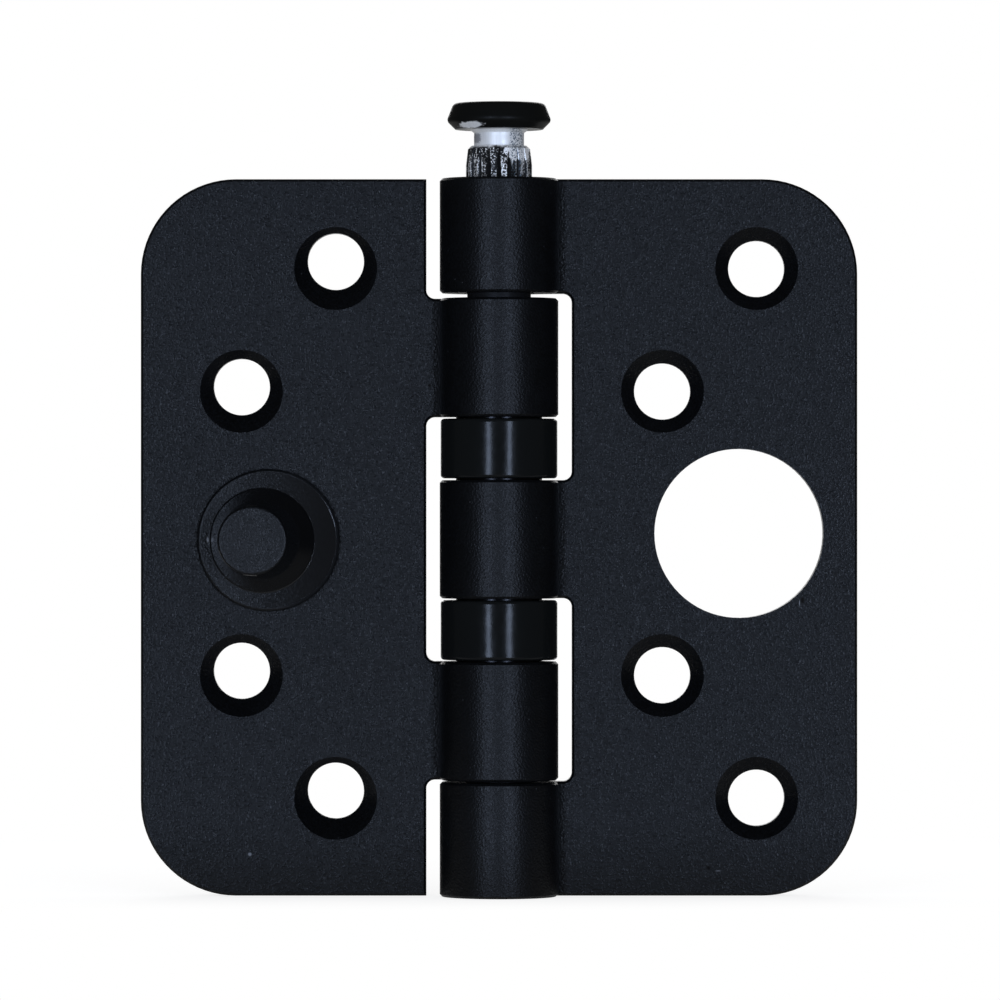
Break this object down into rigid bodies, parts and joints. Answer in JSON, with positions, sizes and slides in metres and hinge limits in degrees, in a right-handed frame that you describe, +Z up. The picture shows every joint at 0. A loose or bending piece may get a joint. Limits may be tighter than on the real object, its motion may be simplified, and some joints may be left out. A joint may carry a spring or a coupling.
{
  "type": "security hinge",
  "caption": "Butt hinge opened flat: rolled knuckles on a loose splined pin, closed ball bearings in the barrel, countersunk screw holes, and a stud on one leaf that locks into the other.",
  "frame": {"origin": "on the pin's axis, at the foot of the barrel", "axes": "+Z up along the pin towards its head, +X towards the frame leaf, +Y out of the mounting faces, with the countersunk faces looking along -Y"},
  "size_m": [0.089, 0.0146, 0.0984],
  "materials": {
    "black_coat": "satin powder coat",
    "smooth_black": "smooth semi-gloss coat",
    "bare_steel": "bright steel",
    "bearing_steel": "polished steel",
    "cage_brass": "stamped brass"
  },
  "bodies": {
    "frame": {"frame_leaf": "black_coat", "upper_bearing_shell": "smooth_black", "upper_bottom_race": "bearing_steel", "lower_top_race": "bearing_steel"},
    "door": {"door_leaf": "black_coat", "security_stud": "black_coat", "upper_top_race": "bearing_steel", "lower_bearing_shell": "smooth_black", "lower_bottom_race": "bearing_steel"},
    "pin": {"hinge_pin": "bare_steel"},
    "upper_ball_ring": {"upper_ball_cage": "cage_brass", "upper_balls": "bearing_steel"},
    "lower_ball_ring": {"lower_ball_cage": "cage_brass", "lower_balls": "bearing_steel"}
  },
  "joints": [
    {"name": "leaf_swing", "type": "hinge", "parent": "frame", "child": "door", "pos_m": [0, 0, 0.0445], "axis": [0, 0, 1], "range_deg": [-120, 180]},
    {"name": "pin_slide", "type": "slide", "parent": "frame", "child": "pin", "axis": [0, 0, 1], "range_m": [-0.006, 0.085]},
    {"name": "upper_ball_roll", "type": "hinge", "parent": "frame", "child": "upper_ball_ring", "pos_m": [0, 0, 0.0555], "axis": [0, 0, 1], "range_deg": [-60, 90]},
    {"name": "lower_ball_roll", "type": "hinge", "parent": "frame", "child": "lower_ball_ring", "pos_m": [0, 0, 0.033], "axis": [0, 0, 1], "range_deg": [-60, 90]}
  ],
  "couplings": [
    {"joint": "upper_ball_roll", "follows": "leaf_swing", "ratio": 0.5},
    {"joint": "lower_ball_roll", "follows": "leaf_swing", "ratio": 0.5}
  ]
}
